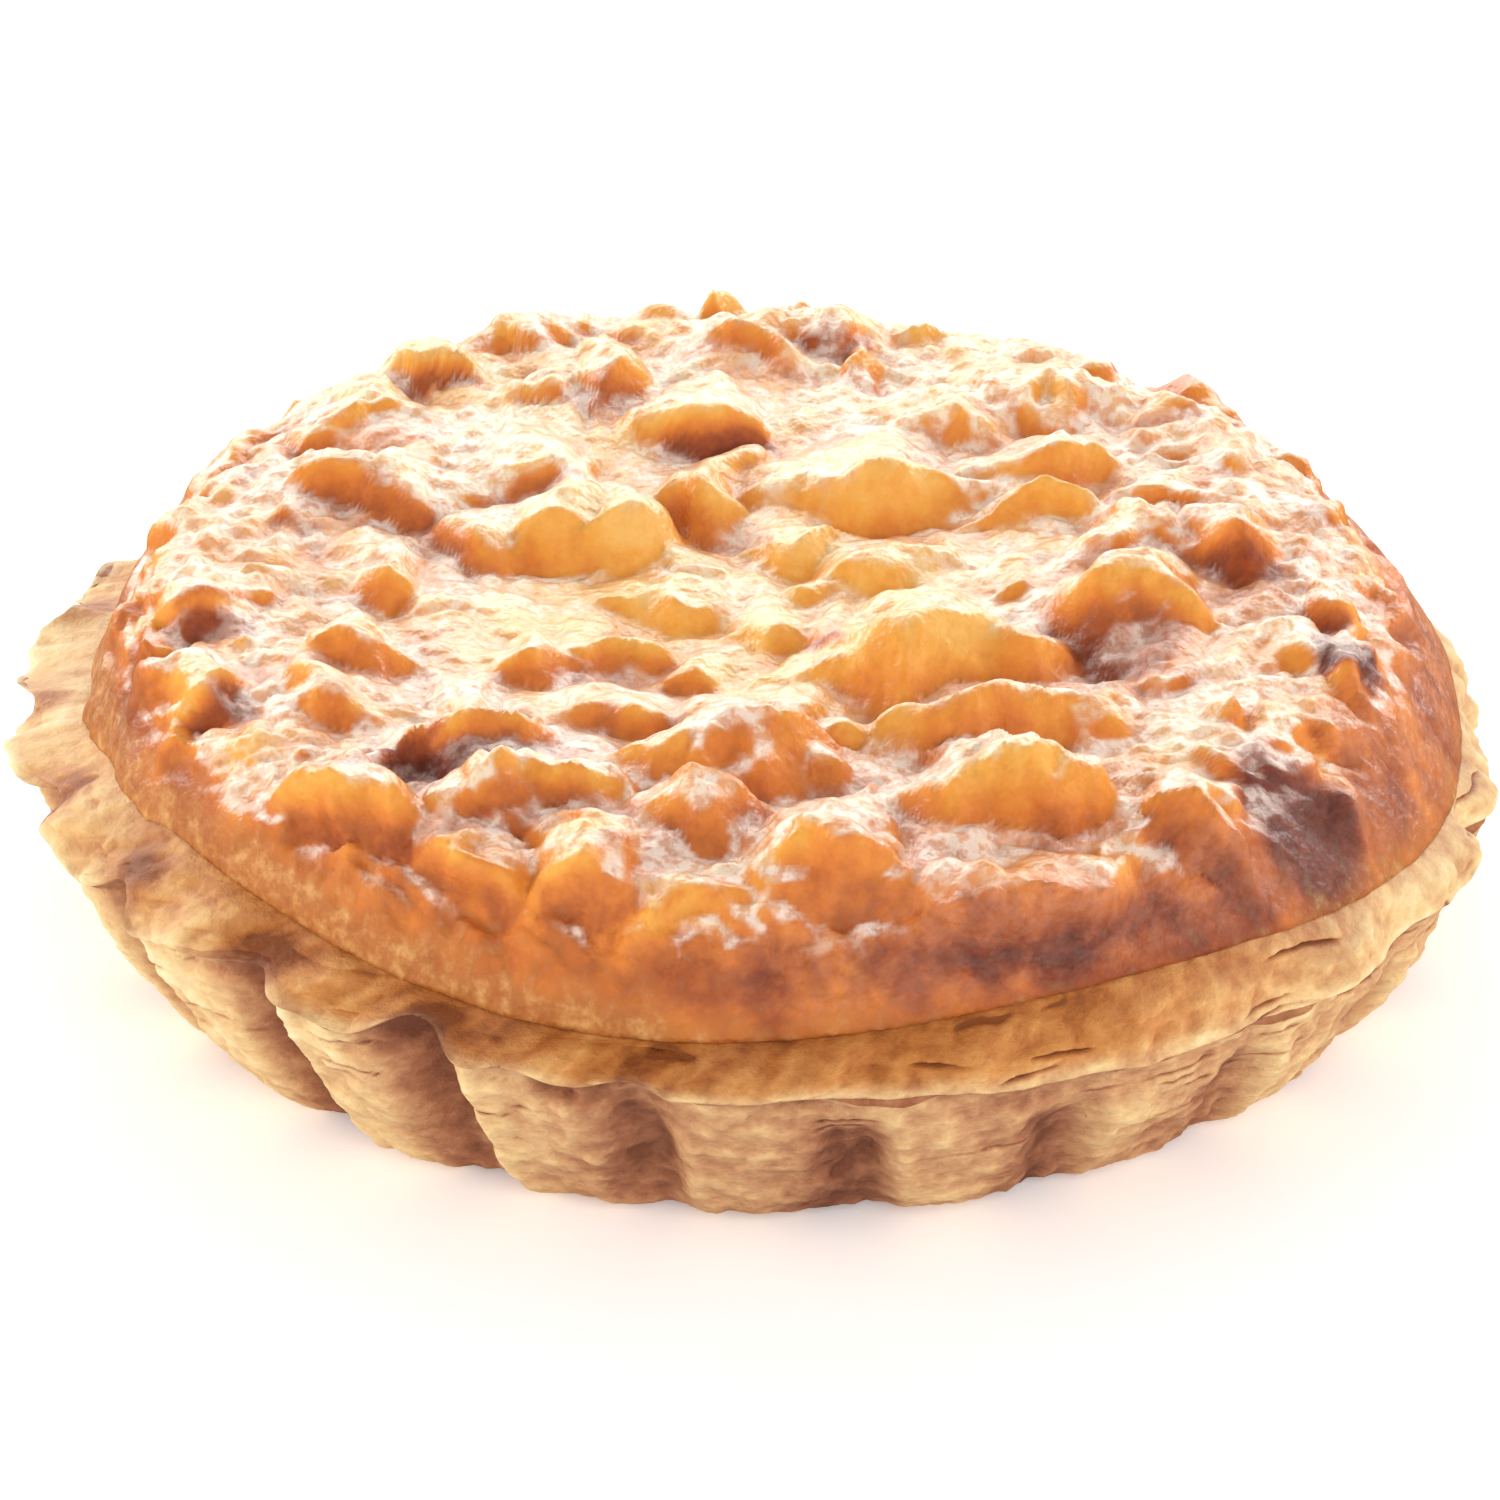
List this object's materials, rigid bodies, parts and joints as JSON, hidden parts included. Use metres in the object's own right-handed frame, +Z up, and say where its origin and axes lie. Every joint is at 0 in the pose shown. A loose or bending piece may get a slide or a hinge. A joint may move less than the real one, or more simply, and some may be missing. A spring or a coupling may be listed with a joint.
{
  "type": "rice tart",
  "caption": "Portion-size rice tart: a fluted flaky pastry shell filled with rice custard, baked to a craggy, unevenly browned dome that laps over the edge.",
  "frame": {"origin": "on the table, under the middle of the tart's bounding box", "axes": "+Z up, -Y to the front as pictured, +X to the right"},
  "size_m": [0.0996, 0.1002, 0.0293],
  "materials": {
    "flaky_pastry": "dry baked pastry, golden beige with browner edges of the leaves and dark cracks",
    "baked_rice_filling": "moist baked custard skin, pale yellow in the middle, golden to red-brown outwards, burnt in spots"
  },
  "bodies": {
    "root": {"pastry_shell": "flaky_pastry", "rice_filling": "baked_rice_filling"}
  },
  "joints": []
}
